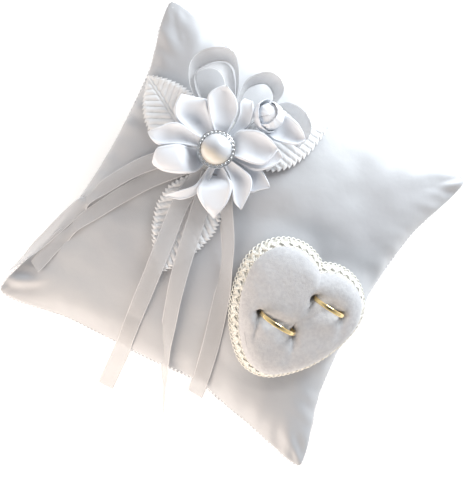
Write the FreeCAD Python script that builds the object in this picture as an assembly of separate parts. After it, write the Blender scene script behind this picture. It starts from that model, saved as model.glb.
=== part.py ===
import FreeCAD, Part
import math
import os

os.makedirs("parts", exist_ok=True)
Vec = FreeCAD.Vector
UP = Vec(0, 0, 1)

# ---------------------------------------------------------------- driving dimensions, in mm
# Pillow: X runs along its bottom edge, Y up towards the flower, Z up. It rests on z = 0.
CORNER_LEFT_BOTTOM = (-101, -100)
CORNER_RIGHT_BOTTOM = (105, -97)
CORNER_LEFT_TOP = (-104, 98)
CORNER_RIGHT_TOP = (100, 98)
PULL_LEFT = 12  # how far each edge is drawn in, half-way between its corners
PULL_RIGHT = 14
PULL_BOTTOM = 11
PULL_TOP = 6
SEAM_HEIGHT = 26
CROWN = 34  # rise of the top panel above the seam
BELLY = 32  # depth of the bottom panel below the seam, before it is pressed flat
SQUARENESS = 2.5  # 2 is a round shoulder, more is a fuller one
COVER_THICKNESS = 0.8
JOIN_TOLERANCE = 0.001
SEAM_THREAD = 0.6
STITCH_COUNT = 14
STITCH_SPACING = 4.5
STITCH_RADIUS = 0.25
STITCH_LENGTH = 2.4

# Heart cushion, in its own frame: z = 0 is the underside of its board
HEART_PLACE = (50, -22)
HEART_SINK = 2.5  # how deep the board presses into the pillow's crown
HEART_TILT_X = 14  # degrees, leaning towards +X
HEART_TILT_Y = 4  # degrees, leaning towards -Y
LOBE_X = 14
LOBE_Y = 13
LOBE_RADIUS = 20
TIP_Y = -17.5
TIP_RADIUS = 17
FLANK_RADIUS = 60
BOARD_THICKNESS = 1.5
PAD_TOP = 17
VELVET_THICKNESS = 1.0
TRIM_REACH = 4.0
TRIM_HEIGHT = 6.0
TRIM_CLEARANCE = 0.2

# Rings, as (x, y) in the heart's frame, outer radius and depth of the centre below the velvet
RING_BAND_WIDTH = 2.4
RING_BAND_THICKNESS = 1.4
RING_EDGE_ROUND = 0.5
SLIT_WIDTH = 3.1
SLIT_CLEARANCE = 0.5
RINGS = {
    "ring_left": {"place": (-8, -6), "radius": 11.5, "depth": 2.0},
    "ring_right": {"place": (12, 16), "radius": 10.0, "depth": 2.5},
}

# Flower spray
FLOWER = (-32, 34)
BACKING_RADIUS = 20
BACKING_THICKNESS = 0.9
THREAD_HOLE = 1.5
CORE_RADIUS = 8
PETAL_THICKNESS = 0.5
LEAF_THICKNESS = 0.6
ROSEBUD_ANGLE = 58
ROSEBUD_DISTANCE = 33
BUD_LOOP_RADIUS = 13.5
RIBBON_WIDTH = 10
RIBBON_THICKNESS = 0.3
PEARL_RADIUS = 8.5
RIM_RADIUS = 9.7
BEAD_RADIUS = 0.85
BEAD_COUNT = 26

# Heights above the pillow's crown under the flower
LIFT_BACKING = 0.3
LIFT_LEAF = 2.0
LIFT_CORE = 2.0
LIFT_ROSEBUD = 4.8
LIFT_PETAL_LOW = 7.0
LIFT_PETAL_HIGH = 9.6
LIFT_SETTING = 12.6


# ---------------------------------------------------------------- small helpers
def blend(start, end, part):
    """The value a given part of the way from start to end."""
    return start + (end - start) * part


def write(name, shape):
    shape.exportStep("parts/" + name + ".step")


def curve_edge(points):
    curve = Part.BSplineCurve()
    curve.interpolate(points)
    return curve.toShape()


def section_wire(lower, upper):
    """A closed section from two rows of points, joined at their ends."""
    edges = [
        curve_edge(lower),
        Part.makeLine(lower[-1], upper[-1]),
        curve_edge(upper[::-1]),
        Part.makeLine(upper[0], lower[0]),
    ]
    return Part.Wire(edges)


def loft(wires):
    return Part.makeLoft(wires, True, False)


def route_samples(points, count):
    """Places and directions at even steps along a smooth line through the points."""
    curve = Part.BSplineCurve()
    curve.interpolate(points)
    samples = []
    length = curve.length()
    for step in range(count + 1):
        parameter = curve.parameterAtDistance(length * step / count, curve.FirstParameter)
        direction = curve.tangent(parameter)[0]
        samples.append((step / count, curve.value(parameter), direction))
    return samples


# ---------------------------------------------------------------- pillow shape
def seam_place(u, v):
    """The pillow's outline stretched over a square: u and v run from -1 to 1."""
    across = (u + 1) / 2
    along = (v + 1) / 2
    x_bottom = blend(CORNER_LEFT_BOTTOM[0], CORNER_RIGHT_BOTTOM[0], across)
    x_top = blend(CORNER_LEFT_TOP[0], CORNER_RIGHT_TOP[0], across)
    y_left = blend(CORNER_LEFT_BOTTOM[1], CORNER_LEFT_TOP[1], along)
    y_right = blend(CORNER_RIGHT_BOTTOM[1], CORNER_RIGHT_TOP[1], along)
    x = blend(x_bottom, x_top, along) - u * blend(PULL_LEFT, PULL_RIGHT, across) * (1 - v * v)
    y = blend(y_left, y_right, across) - v * blend(PULL_BOTTOM, PULL_TOP, along) * (1 - u * u)
    return x, y


def fullness(u, v):
    """How full the filling is, from 0 at the seam to 1 in the middle."""
    across = max(0.0, 1 - abs(u) ** SQUARENESS)
    along = max(0.0, 1 - abs(v) ** SQUARENESS)
    return math.sqrt(across * along)


def panel_solid(rise, inset):
    """The space between a panel and the seam plane; rise is negative for the bottom panel."""
    steps = 24
    shrink = 1 - inset / 100
    rows = []
    for i in range(steps + 1):
        u = math.sin(math.pi / 2 * (2 * i / steps - 1))
        row = []
        for j in range(steps + 1):
            v = math.sin(math.pi / 2 * (2 * j / steps - 1))
            x, y = seam_place(u, v)
            row.append(Vec(x * shrink, y * shrink, SEAM_HEIGHT + rise * fullness(u, v)))
        rows.append(row)
    surface = Part.BSplineSurface()
    surface.interpolate(rows)
    panel = surface.toShape()
    base = Part.Face(Part.Wire(Part.__sortEdges__(panel.Edges)))
    shell = Part.makeShell([panel, base])
    shell.sewShape()
    solid = Part.Solid(shell)
    if solid.Volume < 0:
        solid.reverse()
    return solid


def crown_height(x, y):
    """Height of the top panel over a place; beyond the outline it is the seam's height."""
    u = x / 100
    v = y / 97
    for _ in range(12):
        px, py = seam_place(u, v)
        u = max(-1.0, min(1.0, u + (x - px) / 100))
        v = max(-1.0, min(1.0, v + (y - py) / 97))
    return SEAM_HEIGHT + CROWN * fullness(u, v)


def above_crown(x, y, lift):
    return Vec(x, y, crown_height(x, y) + lift)


# ---------------------------------------------------------------- heart shape
def heart_wire(scale, reach, height):
    """The heart's outline: two lobes, bowed flanks and a rounded tip, scaled, then grown by reach."""
    lobe = Vec(LOBE_X * scale, LOBE_Y * scale, height)
    tip = Vec(0, TIP_Y * scale, height)
    lobe_radius = LOBE_RADIUS * scale + reach
    tip_radius = TIP_RADIUS * scale + reach
    flank_radius = FLANK_RADIUS * scale + reach
    span = lobe - tip
    to_lobe = flank_radius - lobe_radius
    to_tip = flank_radius - tip_radius
    along = (span.Length**2 + to_tip**2 - to_lobe**2) / (2 * span.Length)
    ahead = span / span.Length
    inward = Vec(-ahead.y, ahead.x, 0)
    centre = tip + ahead * along + inward * math.sqrt(to_tip**2 - along**2)

    def on_flank(direction):
        return centre + direction / direction.Length * flank_radius

    lobe_side = on_flank(lobe - centre)
    tip_side = on_flank(tip - centre)
    flank_middle = on_flank((lobe_side + tip_side) / 2 - centre)
    notch = Vec(0, lobe.y + math.sqrt(lobe_radius**2 - lobe.x**2), height)
    lobe_top = lobe + Vec(math.cos(math.pi / 3), math.sin(math.pi / 3), 0) * lobe_radius
    tip_end = tip - Vec(0, tip_radius, 0)

    def mirrored(point):
        return Vec(-point.x, point.y, point.z)

    return Part.Wire(
        [
            Part.Arc(notch, lobe_top, lobe_side).toShape(),
            Part.Arc(lobe_side, flank_middle, tip_side).toShape(),
            Part.Arc(tip_side, tip_end, mirrored(tip_side)).toShape(),
            Part.Arc(mirrored(tip_side), mirrored(flank_middle), mirrored(lobe_side)).toShape(),
            Part.Arc(mirrored(lobe_side), mirrored(lobe_top), notch).toShape(),
        ]
    )


def heart_slab(reach, low, high):
    return Part.Face(heart_wire(1, reach, low)).extrude(Vec(0, 0, high - low))


def heart_pad(skin):
    """The plump pad on the board; skin is how much thinner it is all over."""
    profile = [(0.97, 0.0), (1.0, 0.16), (0.995, 0.42), (0.95, 0.68), (0.84, 0.88), (0.62, 0.98)]
    profile.append((0.36, 1.0))
    pad_height = PAD_TOP - BOARD_THICKNESS - skin
    shrink = skin / (LOBE_X + LOBE_RADIUS)
    wires = []
    for scale, part in profile:
        wires.append(heart_wire(scale - shrink, 0, BOARD_THICKNESS + pad_height * part))
    return loft(wires)


def slit(ring):
    """The space a ring stands in and leaves by, in the heart's frame."""
    x, y = ring["place"]
    radius = ring["radius"] + SLIT_CLEARANCE
    height = PAD_TOP - ring["depth"]
    start = Vec(x, y - SLIT_WIDTH / 2, height)
    round_part = Part.makeCylinder(radius, SLIT_WIDTH, start, Vec(0, 1, 0))
    corner = start - Vec(radius, 0, 0)
    return round_part.fuse(Part.makeBox(2 * radius, SLIT_WIDTH, PAD_TOP, corner))


def ring_band(ring):
    x, y = ring["place"]
    start = Vec(x, y - RING_BAND_WIDTH / 2, PAD_TOP - ring["depth"])
    along = Vec(0, 1, 0)
    outer = Part.makeCylinder(ring["radius"], RING_BAND_WIDTH, start, along)
    inner_radius = ring["radius"] - RING_BAND_THICKNESS
    band = outer.cut(Part.makeCylinder(inner_radius, RING_BAND_WIDTH, start, along))
    rims = [edge for edge in band.Edges if isinstance(edge.Curve, Part.Circle)]
    return band.makeFillet(RING_EDGE_ROUND, rims)


# ---------------------------------------------------------------- pillow
heart_base = above_crown(HEART_PLACE[0], HEART_PLACE[1], -HEART_SINK)
heart_turn = FreeCAD.Rotation(Vec(0, 1, 0), HEART_TILT_X) * FreeCAD.Rotation(
    Vec(1, 0, 0), HEART_TILT_Y
)
heart_frame = FreeCAD.Placement(heart_base, heart_turn)


def on_heart(shape):
    """Moves a shape from the heart's frame to the pillow's."""
    moved = shape.copy()
    moved.Placement = heart_frame
    return moved


def build_pillow():
    seat_reach = TRIM_REACH + 0.8
    seat = on_heart(heart_slab(seat_reach, 0, 60))
    seat_inside = on_heart(heart_slab(seat_reach + COVER_THICKNESS, -COVER_THICKNESS, 60))
    rise = CROWN - COVER_THICKNESS
    belly = BELLY - COVER_THICKNESS
    top_space = panel_solid(rise, COVER_THICKNESS)
    bottom_space = panel_solid(-belly, COVER_THICKNESS)
    cover_top = panel_solid(CROWN, 0).cut(seat).cut(top_space.cut(seat_inside))
    write("pillow_cover_top", cover_top)

    table = Part.makeBox(400, 400, 200, Vec(-200, -200, 0))
    lining = Part.makeBox(400, 400, 200, Vec(-200, -200, COVER_THICKNESS))
    cover_bottom = panel_solid(-BELLY, 0).common(table).cut(bottom_space.common(lining))
    write("pillow_cover_bottom", cover_bottom)
    filling = top_space.fuse([bottom_space], JOIN_TOLERANCE)
    write("pillow_filling", filling.common(lining).cut(seat_inside))


def seam_slab(inset, thickness):
    edges = []
    for start, end in (((-1, -1), (1, -1)), ((1, -1), (1, 1)), ((1, 1), (-1, 1)), ((-1, 1), (-1, -1))):
        points = []
        for step in range(17):
            u = blend(start[0], end[0], step / 16)
            v = blend(start[1], end[1], step / 16)
            x, y = seam_place(u, v)
            shrink = 1 - inset / 100
            points.append(Vec(x * shrink, y * shrink, SEAM_HEIGHT - thickness / 2))
        edges.append(curve_edge(points))
    return Part.Face(Part.Wire(edges)).extrude(Vec(0, 0, thickness))


def build_seam():
    thread = seam_slab(-SEAM_THREAD - 0.05, SEAM_THREAD).cut(seam_slab(-0.05, SEAM_THREAD))
    write("seam_thread", thread)
    stitches = []
    for number in range(STITCH_COUNT):
        u = (number - STITCH_COUNT / 2) * STITCH_SPACING / 100 + 0.15
        x, y = seam_place(u, -1)
        foot = Vec(x - 0.6, y - SEAM_THREAD - 0.5, SEAM_HEIGHT - STITCH_LENGTH / 2)
        slant = Vec(0.5, 0, 1)
        stitches.append(Part.makeCylinder(STITCH_RADIUS, STITCH_LENGTH, foot, slant))
    write("closing_stitches", Part.makeCompound(stitches))


# ---------------------------------------------------------------- heart cushion and rings
def build_heart():
    write("heart_base_board", on_heart(heart_slab(-1, 0, BOARD_THICKNESS)))
    foam = heart_pad(VELVET_THICKNESS)
    velvet = heart_pad(0).cut(foam)
    for ring in RINGS.values():
        foam = foam.cut(slit(ring))
        velvet = velvet.cut(slit(ring))
    write("heart_foam", on_heart(foam))
    write("heart_velvet_cover", on_heart(velvet))
    foot = heart_wire(1, TRIM_REACH, 0)
    shoulder = heart_wire(1, TRIM_CLEARANCE + 1.0, TRIM_HEIGHT)
    braid = Part.makeLoft([foot, shoulder], True, True)
    braid = braid.cut(heart_slab(TRIM_CLEARANCE, 0, TRIM_HEIGHT))
    write("heart_trim_braid", on_heart(braid))
    for name, ring in RINGS.items():
        write(name, on_heart(ring_band(ring)))


# ---------------------------------------------------------------- leaves, petals and ribbons
flower_height = crown_height(*FLOWER)


def from_flower(angle, distance):
    """The place at an angle and a distance from the flower's middle."""
    turn = math.radians(angle)
    return FLOWER[0] + distance * math.cos(turn), FLOWER[1] + distance * math.sin(turn)


rosebud_place = from_flower(ROSEBUD_ANGLE, ROSEBUD_DISTANCE)


def pointed(part, widest):
    """Width along a leaf or petal, from 0 to 1: narrow at both ends, full at widest."""
    if part < widest:
        return math.sin(math.pi / 2 * (0.25 + 0.75 * part / widest))
    return max(0.05, math.cos(math.pi / 2 * (part - widest) / (1 - widest)) ** 0.8)


def leaf(angle, start, length, width, lift):
    """A flat leaf that lies over the pillow's curve."""
    turn = math.radians(angle)
    side = Vec(-math.sin(turn), math.cos(turn), 0)
    wires = []
    for step in range(11):
        part = step / 10
        x, y = from_flower(angle, blend(start, length, part))
        half = width / 2 * pointed(part, 0.45)
        row = []
        for share in (-1, -0.5, 0, 0.5, 1):
            place = Vec(x, y, 0) + side * (half * share)
            row.append(above_crown(place.x, place.y, lift))
        wires.append(section_wire(row, [point + UP * LEAF_THICKNESS for point in row]))
    return loft(wires)


def petal(angle, start, length, width, lift, rise, cup):
    """A cupped petal: its middle line climbs by rise, its rims stand higher by cup."""
    turn = math.radians(angle)
    side = Vec(-math.sin(turn), math.cos(turn), 0)
    wires = []
    for step in range(9):
        part = step / 8
        x, y = from_flower(angle, blend(start, length, part))
        half = width / 2 * pointed(part, 0.55)
        middle = Vec(x, y, flower_height + lift + rise * part**1.5)
        row = []
        for share in (-1, -0.5, 0, 0.5, 1):
            row.append(middle + side * (half * share) + UP * (cup * share**2 * half * 2 / width))
        wires.append(section_wire(row, [point + UP * PETAL_THICKNESS for point in row]))
    return loft(wires)


def gathered(part):
    """Share of a loop's full ribbon width: its two ends are gathered."""
    opened = min(1.0, max(0.0, (min(part, 1 - part) - 0.16) / 0.16))
    return blend(0.25, 1.0, opened * opened * (3 - 2 * opened))


def ribbon_loop(route, stand):
    """A loop whose ribbon stands on edge; stand is its angle to the pillow in degrees."""
    wires = []
    for part, place, direction in route_samples(route, 20):
        outward = direction.cross(UP).normalize()
        lean = math.radians(stand)
        across = outward * math.cos(lean) + UP * math.sin(lean)
        face = across.cross(direction).normalize() * RIBBON_THICKNESS
        low = place
        high = place + across * (RIBBON_WIDTH * gathered(part))
        wires.append(Part.makePolygon([low, high, high + face, low + face, low]))
    return loft(wires)


def ribbon_tail(route, width):
    """A tail that lies over the pillow and hangs past its edge."""
    wires = []
    for part, place, direction in route_samples(route, 16):
        side = direction.cross(UP).normalize() * (width / 2)
        tilt = 0.0
        if place.z > SEAM_HEIGHT + 2:
            left = crown_height(place.x - side.x, place.y - side.y)
            right = crown_height(place.x + side.x, place.y + side.y)
            tilt = (right - left) / 2
        side = side + UP * tilt
        up = side.cross(direction).normalize() * RIBBON_THICKNESS
        wires.append(
            Part.makePolygon([place - side, place + side, place + side + up, place - side + up, place - side])
        )
    return loft(wires)


LEAVES = {
    "leaf_left": {"angle": 159, "length": 58, "width": 34},
    "leaf_right": {"angle": 45, "length": 64, "width": 36},
    "leaf_lower": {"angle": 276, "length": 70, "width": 34},
}

# angle, length from the flower's middle, width, rise of the tip, height of the rims
PETALS_HIGH = {
    "petal_top_left": (113.5, 35, 20, 2.0, 3.0),
    "petal_left": (195.5, 36, 17, 2.0, 2.0),
    "petal_right": (27, 38, 20, 1.0, 2.5),
    "petal_bottom_right": (297.5, 34, 18, 3.0, 2.5),
    "petal_bottom": (249.5, 27, 17, 0.5, 1.0),
}
PETALS_LOW = {
    "petal_top": (80, 33, 15, 0.5, 1.0),
    "petal_upper_left": (153, 36, 22, 0.5, 1.0),
    "petal_lower_left": (222.5, 34, 15, 0.5, 1.0),
    "petal_lower_right": (324.5, 36, 15, 0.5, 1.0),
    "petal_right_under": (12, 37, 15, 0.5, 1.0),
}


def loop_route(angle, length, half_width, lift):
    """A teardrop in plan: out along one side, round the end and back along the other."""
    shape = ((12, 0.06), (24, -0.55), (0.72, -1.0), (0.93, -0.72), (1.0, 0.0), (0.93, 0.72))
    shape = shape + ((0.72, 1.0), (24, 0.55), (12, -0.06))
    turn = math.radians(angle)
    side = Vec(-math.sin(turn), math.cos(turn), 0)
    route = []
    for number, (reach, share) in enumerate(shape):
        distance = reach if reach > 1 else reach * length
        x, y = from_flower(angle, distance)
        place = Vec(x, y, 0) + side * (half_width * share)
        level = lift + number * 0.12
        route.append(above_crown(place.x, place.y, level))
    return route


def bud_loop_route():
    """The loop behind the rosebud, an arc round the bud's far side."""
    x, y = rosebud_place
    route = []
    for step in range(7):
        turn = math.radians(blend(-35, 100, step / 6))
        place = Vec(x, y, 0) + Vec(math.cos(turn), math.sin(turn), 0) * BUD_LOOP_RADIUS
        route.append(above_crown(place.x, place.y, 3.4))
    return route


LOOPS = {
    "ribbon_loop_left": {"angle": 127, "length": 51, "half_width": 8.5, "stand": 50, "lift": 3.0},
    "ribbon_loop_left_inner": {"angle": 127, "length": 42, "half_width": 5, "stand": 100, "lift": 5.8},
    "ribbon_loop_top": {"angle": 89, "length": 46, "half_width": 6, "stand": 65, "lift": 3.0},
}


def tail_routes():
    """Each tail's middle line, from under the flower to its cut end."""
    return {
        "ribbon_tail_middle_left": [
            above_crown(-33, 22, 3.2),
            above_crown(-35, 0, 4.2),
            above_crown(-31, -25, 3.8),
            above_crown(-28, -45, 3.2),
            above_crown(-24, -68, 2.2),
            Vec(-21, -92, 33),
            Vec(-20, -106, 23),
            Vec(-19, -120, 11),
        ],
        "ribbon_tail_middle": [
            above_crown(-29, 22, 3.9),
            above_crown(-26, 5, 4.4),
            above_crown(-14, -35, 3.4),
            above_crown(-2, -68, 2.6),
            Vec(7, -90, 34),
            Vec(14, -104, 24),
            Vec(20, -116, 12),
        ],
        "ribbon_tail_right": [
            above_crown(-22, 25, 4.8),
            above_crown(-12, 10, 3.8),
            above_crown(6, -17, 2.6),
            above_crown(19, -52, 2.4),
            above_crown(25, -74, 2.8),
            Vec(30, -91, 33),
        ],
        "ribbon_tail_left_upper": [
            above_crown(-43, 25, 4.2),
            above_crown(-61, 10, 3.4),
            above_crown(-76, -12, 3.0),
            Vec(-91, -34, 41),
            Vec(-101, -60, 36),
            Vec(-104, -88, 29),
        ],
        "ribbon_tail_left_lower": [
            above_crown(-40, 22, 3.0),
            above_crown(-57, 0, 2.2),
            above_crown(-72, -26, 2.0),
            above_crown(-83, -51, 3.4),
            Vec(-90, -77, 37),
        ],
    }


# ---------------------------------------------------------------- flower spray
def flower_disc(radius, thickness, lift):
    place = Vec(FLOWER[0], FLOWER[1], flower_height + lift)
    return Part.makeCylinder(radius, thickness, place)


def build_backing():
    """A felt disc that lies on the pillow's curve, with a hole for the thread."""
    slab = flower_disc(BACKING_RADIUS, 12, -8).cut(flower_disc(THREAD_HOLE, 12, -8))
    lower = panel_solid(CROWN + LIFT_BACKING, 0)
    upper = panel_solid(CROWN + LIFT_BACKING + BACKING_THICKNESS, 0)
    write("corsage_backing", slab.common(upper).cut(lower))


def build_rosebud():
    """A rolled bud with two folded wraps round it, beside the flower."""
    x, y = rosebud_place
    base = crown_height(x, y) + LIFT_ROSEBUD
    axis_start = Vec(x, y, base)

    def turned(profile, start, sweep):
        face = Part.Face(Part.makePolygon([Vec(x + r, y, base + z) for r, z in profile]))
        face.rotate(axis_start, UP, start)
        return face.revolve(axis_start, UP, sweep)

    core = [(0, 1.4), (3.0, 1.4), (4.6, 5), (4.2, 10), (2.2, 12), (0, 12.4), (0, 1.4)]
    inner = [(3.6, 0.8), (4.4, 0.8), (7.4, 5), (7.0, 9.5), (6.2, 9.5), (6.6, 5), (3.6, 0.8)]
    outer = [(4.8, 0), (5.8, 0), (10.0, 3.5), (10.6, 7), (9.8, 7), (9.2, 4), (4.8, 0)]
    write("rosebud_core", turned(core, 0, 360))
    write("rosebud_inner_wrap", turned(inner, 30, 300))
    write("rosebud_outer_wrap", turned(outer, -80, 200))


def build_flower():
    build_backing()
    core = flower_disc(CORE_RADIUS, LIFT_SETTING - LIFT_CORE - 1.0, LIFT_CORE)
    write("corsage_core", core)
    wraps = []
    for turn in range(3):
        middle = Vec(FLOWER[0], FLOWER[1], flower_height + LIFT_CORE + 0.8 + 0.9 * turn)
        wraps.append(Part.makeTorus(CORE_RADIUS + 0.45, 0.4, middle))
    write("binding_thread", Part.makeCompound(wraps))
    for name, size in LEAVES.items():
        write(name, leaf(size["angle"], 11, size["length"], size["width"], LIFT_LEAF))
    for lift, petals in ((LIFT_PETAL_HIGH, PETALS_HIGH), (LIFT_PETAL_LOW, PETALS_LOW)):
        for name, (angle, length, width, rise, cup) in petals.items():
            write(name, petal(angle, CORE_RADIUS + 0.6, length, width, lift, rise, cup))
    for name, loop in LOOPS.items():
        route = loop_route(loop["angle"], loop["length"], loop["half_width"], loop["lift"])
        write(name, ribbon_loop(route, loop["stand"]))
    write("ribbon_loop_right", ribbon_loop(bud_loop_route(), 60))
    for name, route in tail_routes().items():
        write(name, ribbon_tail(route, RIBBON_WIDTH))
    build_rosebud()


def build_pearl():
    """The pearl button: a shank, a round setting with beads on its rim, and the pearl."""
    shank = flower_disc(1.2, 1.0, LIFT_SETTING - 1.0)
    setting = flower_disc(RIM_RADIUS + BEAD_RADIUS, 0.8, LIFT_SETTING)
    write("pearl_shank", shank)
    write("pearl_setting", setting)
    seat = flower_height + LIFT_SETTING + 0.8
    ball = Part.makeSphere(PEARL_RADIUS, Vec(FLOWER[0], FLOWER[1], seat))
    write("pearl", ball.common(flower_disc(PEARL_RADIUS + 1, 20, LIFT_SETTING + 0.8)))
    beads = []
    for number in range(BEAD_COUNT):
        x, y = from_flower(360 * number / BEAD_COUNT, RIM_RADIUS)
        beads.append(Part.makeSphere(BEAD_RADIUS, Vec(x, y, seat + BEAD_RADIUS)))
    write("rim_beads", Part.makeCompound(beads))


build_pillow()
build_seam()
build_heart()
build_flower()
build_pearl()
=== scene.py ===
import math
import random

import bmesh
import bpy
import numpy as np
from mathutils import Matrix, Vector, noise
from mathutils.bvhtree import BVHTree


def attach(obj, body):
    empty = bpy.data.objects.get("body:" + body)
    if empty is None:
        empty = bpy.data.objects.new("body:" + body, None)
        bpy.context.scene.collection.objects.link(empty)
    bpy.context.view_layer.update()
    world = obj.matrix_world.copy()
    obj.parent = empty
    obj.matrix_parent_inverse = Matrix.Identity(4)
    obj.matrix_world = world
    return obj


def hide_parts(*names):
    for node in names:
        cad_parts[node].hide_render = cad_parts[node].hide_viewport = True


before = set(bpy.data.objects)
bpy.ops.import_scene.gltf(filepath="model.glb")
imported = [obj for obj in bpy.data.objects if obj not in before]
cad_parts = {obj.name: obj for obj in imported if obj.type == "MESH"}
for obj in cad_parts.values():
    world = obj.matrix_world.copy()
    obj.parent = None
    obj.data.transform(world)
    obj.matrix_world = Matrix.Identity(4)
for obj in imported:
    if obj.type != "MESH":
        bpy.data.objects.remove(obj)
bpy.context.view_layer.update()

MM = 0.001
UP = Vector((0, 0, 1))
BODY = "pillow"
scene = bpy.context.scene
dice = random.Random(11)

# ---------------------------------------------------------------- the design's own sizes, in mm
# the pillow: corners of its seam, how far its sides pull in, its heights, how boxy its fullness is
LEFT_BOTTOM = (-101, -100)
RIGHT_BOTTOM = (105, -97)
LEFT_TOP = (-104, 98)
RIGHT_TOP = (100, 98)
PULL_LEFT, PULL_RIGHT, PULL_BOTTOM, PULL_TOP = 12, 14, 11, 6
SEAM_HEIGHT = 26
CROWN = 34
BELLY = 29
SQUARENESS = 2.5
# the heart cushion: its place, how deep it sinks in, its tilt, the arcs of its outline, its top
HEART_PLACE = (50, -22)
HEART_SINK = 2.5
HEART_TILT_X, HEART_TILT_Y = 14, 4
LOBE_X, LOBE_Y, LOBE_RADIUS = 14, 13, 20
TIP_Y, TIP_RADIUS = -17.5, 17
FLANK_RADIUS = 60
PAD_TOP = 17
# the flower spray: its middle, and its pearl button, setting and ribbon
FLOWER = (-32, 34)
LIFT_SETTING = 12.6
PEARL_RADIUS = 8.5
RIM_RADIUS = 9.3
BEAD_COUNT = 26
RIBBON_WIDTH = 10
# the rings: place on the heart, outside radius, and depth of the middle below the pad's top
RING_WIDTH = 2.4
RING_THICKNESS = 1.4
RINGS = {
    "ring_left": {"place": (-8, -6), "radius": 11.5, "depth": 2.0},
    "ring_right": {"place": (12, 16), "radius": 10.0, "depth": 2.5},
}


# ---------------------------------------------------------------- small helpers
def mix(start, end, part):
    """The value at a share of the way from start to end."""
    return start + (end - start) * part


def ease(low, high, value):
    """0 below low, 1 above high, and smooth between them."""
    part = min(1.0, max(0.0, (value - low) / (high - low)))
    return part * part * (3 - 2 * part)


def bump(distance, width):
    """A bell: 1 at no distance, fading over the width."""
    return math.exp(-((distance / width) ** 2))


def smooth_line(points, count, closed=False):
    """Points at even steps of a smooth line through the given ones."""
    points = np.array([tuple(p) for p in points], dtype=float)
    last = len(points) if closed else len(points) - 1
    if closed:
        before, after = points[-1:], points[:2]
    else:
        before, after = 2 * points[:1] - points[1:2], 2 * points[-1:] - points[-2:-1]
    guide = np.concatenate([before, points, after])
    fine = []
    for span in range(last):
        a, b, c, d = guide[span : span + 4]
        for t in np.linspace(0, 1, 24, endpoint=False):
            line = 2 * b + (c - a) * t + (2 * a - 5 * b + 4 * c - d) * t**2
            fine.append((line + (3 * b - a - 3 * c + d) * t**3) / 2)
    fine.append(points[0] if closed else points[-1])
    fine = np.array(fine)
    walked = np.concatenate([[0], np.cumsum(np.linalg.norm(np.diff(fine, axis=0), axis=1))])
    wanted = np.linspace(0, walked[-1], count + 1)
    if closed:
        wanted = wanted[:-1]
    columns = [np.interp(wanted, walked, fine[:, k]) for k in range(fine.shape[1])]
    return np.stack(columns, axis=1)


def directions(line, closed=False):
    """Unit directions along a row of points."""
    if closed:
        steps = np.roll(line, -1, axis=0) - np.roll(line, 1, axis=0)
    else:
        steps = np.gradient(line, axis=0)
    return steps / np.linalg.norm(steps, axis=1)[:, None]


def face_outwards(mesh):
    """Turns every face to the outside of its shell."""
    shells = bmesh.new()
    shells.from_mesh(mesh)
    bmesh.ops.recalc_face_normals(shells, faces=shells.faces)
    shells.to_mesh(mesh)
    shells.free()


def add_piece(name, verts, faces, material, nodes, slot, body=BODY):
    """A smooth mesh piece, given in mm, that stands for CAD nodes and rides on a body."""
    mesh = bpy.data.meshes.new(name)
    mesh.from_pydata([tuple(c * MM for c in v) for v in verts], [], faces)
    mesh.validate()
    face_outwards(mesh)
    for polygon in mesh.polygons:
        polygon.use_smooth = True
    mesh.materials.append(material)
    piece = bpy.data.objects.new(name, mesh)
    scene.collection.objects.link(piece)
    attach(piece, body)
    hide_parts(*nodes)
    return piece


def grid_faces(rows, columns, wrap_rows=False, wrap_columns=False):
    """Faces between rows of points, which may close up both ways."""
    faces = []
    for i in range(rows if wrap_rows else rows - 1):
        for j in range(columns if wrap_columns else columns - 1):
            here, ahead = i * columns, (i + 1) % rows * columns
            aside = (j + 1) % columns
            faces.append((here + j, ahead + j, ahead + aside, here + aside))
    return faces


def add_smoothing(piece):
    """Divides every face once and rounds the surface."""
    smooth = piece.modifiers.new("smooth", "SUBSURF")
    smooth.levels = 1
    smooth.render_levels = 1


def circle_points(count, radius=1.0):
    """Even steps round a circle."""
    turns = [2 * math.pi * k / count for k in range(count)]
    return [(radius * math.cos(turn), radius * math.sin(turn)) for turn in turns]


def tube_mesh(line, radius, sides, closed=False):
    """Points and faces of a round cord along a line."""
    ahead = directions(line, closed)
    verts = []
    for place, way in zip(line, ahead):
        way = Vector(way)
        side = way.orthogonal() if abs(way.z) > 0.95 else way.cross(UP)
        side.normalize()
        top = side.cross(way)
        for x, y in circle_points(sides, radius):
            verts.append(Vector(place) + side * x + top * y)
    faces = grid_faces(len(line), sides, closed, True)
    if not closed:
        faces.append(tuple(range(sides)))
        faces.append(tuple(reversed(range(len(verts) - sides, len(verts)))))
    return verts, faces


class Heap:
    """Collects several small meshes into one piece."""

    def __init__(self):
        self.verts = []
        self.faces = []

    def add(self, verts, faces):
        start = len(self.verts)
        self.verts += [tuple(v) for v in verts]
        self.faces += [tuple(start + k for k in face) for face in faces]


def ball_mesh(centre, radius, sides):
    """A small round bead."""
    verts = []
    rows = sides // 2
    for i in range(1, rows):
        polar = math.pi * i / rows
        height = radius * math.cos(polar)
        for x, y in circle_points(sides, radius * math.sin(polar)):
            verts.append(Vector(centre) + Vector((x, y, height)))
    faces = grid_faces(rows - 1, sides, False, True)
    verts.append(Vector(centre) + UP * radius)
    verts.append(Vector(centre) - UP * radius)
    top, bottom, last = len(verts) - 2, len(verts) - 1, (rows - 2) * sides
    for j in range(sides):
        faces.append((top, j, (j + 1) % sides))
        faces.append((bottom, last + (j + 1) % sides, last + j))
    return verts, faces


# ---------------------------------------------------------------- materials
def start_material(name, color, roughness, **sockets):
    """A Principled material with its constant sockets set."""
    material = bpy.data.materials.new(name)
    material.use_nodes = True
    shader = material.node_tree.nodes["Principled BSDF"]
    shader.inputs["Base Color"].default_value = (*color, 1)
    shader.inputs["Roughness"].default_value = roughness
    for key, value in sockets.items():
        shader.inputs[key.replace("_", " ")].default_value = value
    return material, material.node_tree, shader


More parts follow.
